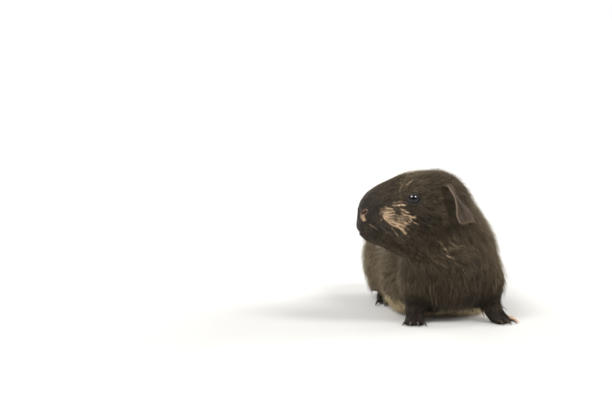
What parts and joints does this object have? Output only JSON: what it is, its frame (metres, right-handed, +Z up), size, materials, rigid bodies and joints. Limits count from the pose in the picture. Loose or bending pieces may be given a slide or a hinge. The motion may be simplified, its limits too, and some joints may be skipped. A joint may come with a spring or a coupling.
{
  "type": "guinea pig",
  "caption": "Life-size still model of a short-haired guinea pig, sitting with its chest raised on straight forelegs and its head turned to its right.",
  "frame": {"origin": "middle of the bounding box, on the floor that the feet stand on", "axes": "+Z up, +Y from the chest to the rump, +X to the animal's left"},
  "size_m": [0.111, 0.1828, 0.1028],
  "materials": {
    "coat": "short dark brown-black fur with a pale tan patch on the cheek",
    "ear": "bare grey-brown skin with short fine hair",
    "foot": "dark bare skin with very short hair",
    "eye": "wet, black and shiny",
    "claw": "translucent horn, from dark to pale tan"
  },
  "bodies": {
    "root": {"head": "coat", "neck": "coat", "chest": "coat", "trunk": "coat", "rump": "coat", "foreleg_left": "coat", "foreleg_right": "coat", "hindleg_left": "coat", "hindleg_right": "coat", "forefoot_left": "foot", "forefoot_right": "foot", "hindfoot_left": "foot", "hindfoot_right": "foot", "ear_left": "ear", "ear_right": "ear", "eye_left": "eye", "eye_right": "eye", "foreclaw_left_1": "claw", "foreclaw_left_2": "claw", "foreclaw_left_3": "claw", "foreclaw_left_4": "claw", "foreclaw_right_1": "claw", "foreclaw_right_2": "claw", "foreclaw_right_3": "claw", "foreclaw_right_4": "claw", "hindclaw_left_1": "claw", "hindclaw_left_2": "claw", "hindclaw_left_3": "claw", "hindclaw_right_1": "claw", "hindclaw_right_2": "claw", "hindclaw_right_3": "claw"}
  },
  "joints": []
}
